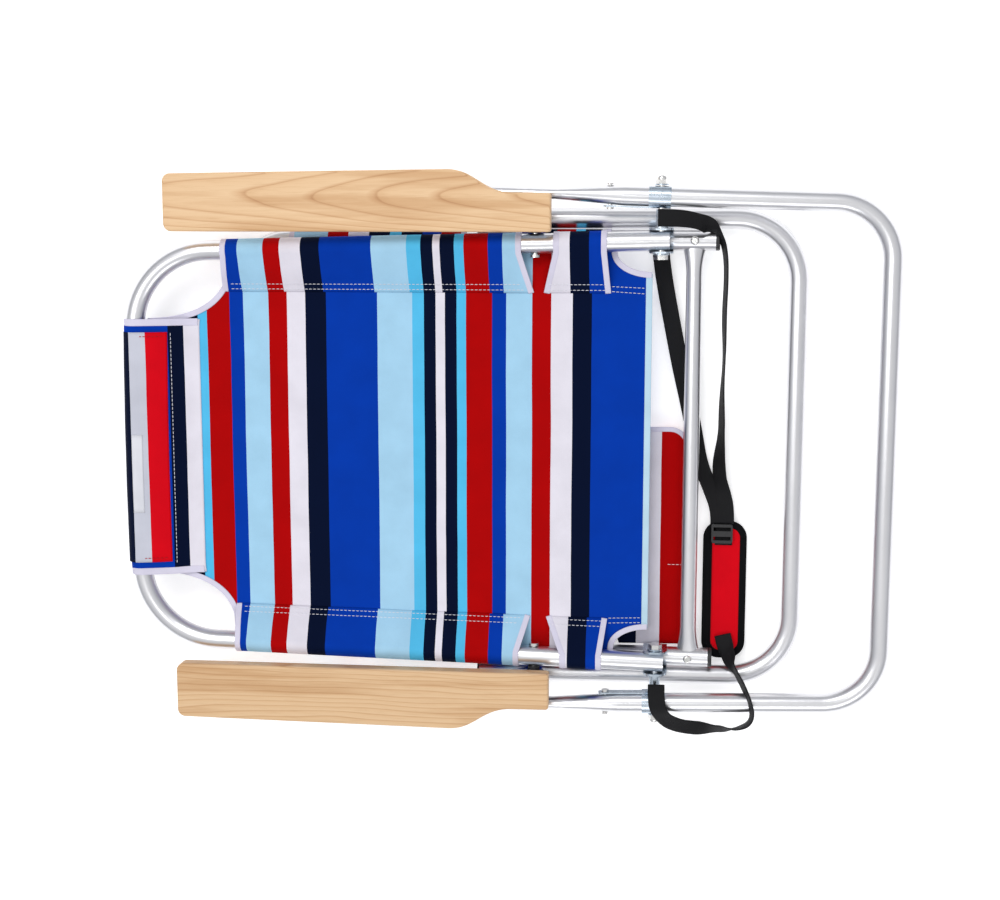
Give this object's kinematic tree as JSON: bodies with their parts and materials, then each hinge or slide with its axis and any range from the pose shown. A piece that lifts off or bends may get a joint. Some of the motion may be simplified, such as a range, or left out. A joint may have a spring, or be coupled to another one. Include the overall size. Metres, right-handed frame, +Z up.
{
  "type": "folding beach chair",
  "caption": "low folding camp chair with round aluminium tube frames, striped sling seat and back, wooden armrests and a padded carry strap, folded flat",
  "frame": {"origin": "centre of the folded chair's footprint, on the surface it lies on", "axes": "+X toward the leg bars at the feet end, head of the backrest toward -X, +Y to the chair's right side, +Z up"},
  "size_m": [0.8689, 0.6318, 0.0835],
  "materials": {
    "aluminium": "brushed, clear anodised tube",
    "zinc": "zinc-plated stamped steel",
    "rivet": "nickel-plated fastener",
    "wood": "clear-lacquered pale hardwood",
    "black_plastic": "moulded, matte",
    "fabric": "woven polyester, multicolour stripes",
    "webbing": "woven webbing",
    "pad": "foam-backed fabric with bound edge"
  },
  "bodies": {
    "seat": {"seat_tube": "aluminium", "seat_crossbar": "aluminium", "crossbar_rivets": "rivet", "seat_end_plugs": "black_plastic", "clevis_right": "zinc", "clevis_left": "zinc", "clevis_rivets": "rivet", "seat_fabric": "fabric", "seat_pouch": "fabric", "front_leg_bolts": "rivet", "strap_long": "webbing", "strap_return": "webbing", "strap_short": "webbing", "strap_pad": "pad", "strap_slider": "black_plastic"},
    "hinge_bolts": {"main_bolts": "rivet", "main_washers": "zinc", "main_spacers": "zinc", "acorn_nuts": "rivet"},
    "back": {"back_tube": "aluminium", "back_fabric": "fabric", "head_band": "fabric"},
    "arm_pin_right": {"arm_bolt_right": "rivet", "arm_spacer_right": "black_plastic"},
    "arm_pin_left": {"arm_bolt_left": "rivet", "arm_spacer_left": "black_plastic"},
    "arm_right": {"arm_board_right": "wood", "arm_bracket_right": "zinc", "arm_rail_right": "zinc", "arm_screws_right": "rivet"},
    "arm_left": {"arm_board_left": "wood", "arm_bracket_left": "zinc", "arm_rail_left": "zinc", "arm_screws_left": "rivet"},
    "rear_legs": {"rear_leg_tube": "aluminium", "saddle_bracket_right": "zinc", "saddle_bracket_left": "zinc", "saddle_rivets": "rivet", "track_pins": "zinc"},
    "front_legs": {"front_leg_tube": "aluminium", "front_leg_plugs": "black_plastic"}
  },
  "joints": [
    {"name": "fold", "type": "hinge", "parent": "seat", "child": "hinge_bolts", "pos_m": [0.1743, 0, 0.052], "axis": [0, 1, 0], "range_deg": [0, 110]},
    {"name": "recline", "type": "hinge", "parent": "hinge_bolts", "child": "back", "pos_m": [0.1743, 0, 0.052], "axis": [0, 1, 0], "range_deg": [0, 60]},
    {"name": "rear_leg_swing", "type": "hinge", "parent": "seat", "child": "rear_legs", "pos_m": [0.1743, 0, 0.052], "axis": [0, 1, 0], "range_deg": [0, 39.3]},
    {"name": "front_leg_swing", "type": "hinge", "parent": "seat", "child": "front_legs", "pos_m": [-0.01562, 0, 0.02079], "axis": [0, 1, 0], "range_deg": [0, 147.1]},
    {"name": "arm_level_right", "type": "hinge", "parent": "back", "child": "arm_pin_right", "pos_m": [0.0363, 0, 0.052], "axis": [0, 1, 0], "range_deg": [-110.1, 0]},
    {"name": "arm_level_left", "type": "hinge", "parent": "back", "child": "arm_pin_left", "pos_m": [0.0363, 0, 0.052], "axis": [0, 1, 0], "range_deg": [-110.1, 0]},
    {"name": "arm_tilt_right", "type": "hinge", "parent": "arm_pin_right", "child": "arm_right", "pos_m": [0.0363, 0, 0.052], "axis": [0, 1, 0], "range_deg": [-40.3, 0]},
    {"name": "arm_tilt_left", "type": "hinge", "parent": "arm_pin_left", "child": "arm_left", "pos_m": [0.0363, 0, 0.052], "axis": [0, 1, 0], "range_deg": [-40.3, 0]}
  ],
  "couplings": [
    {"joint": "rear_leg_swing", "follows": "fold", "ratio": 0.35682},
    {"joint": "front_leg_swing", "follows": "fold", "ratio": 1.3364},
    {"joint": "arm_level_right", "follows": "fold", "ratio": -1},
    {"joint": "arm_level_left", "follows": "fold", "ratio": -1},
    {"joint": "arm_tilt_right", "follows": "recline", "ratio": -0.671},
    {"joint": "arm_tilt_left", "follows": "recline", "ratio": -0.671}
  ]
}
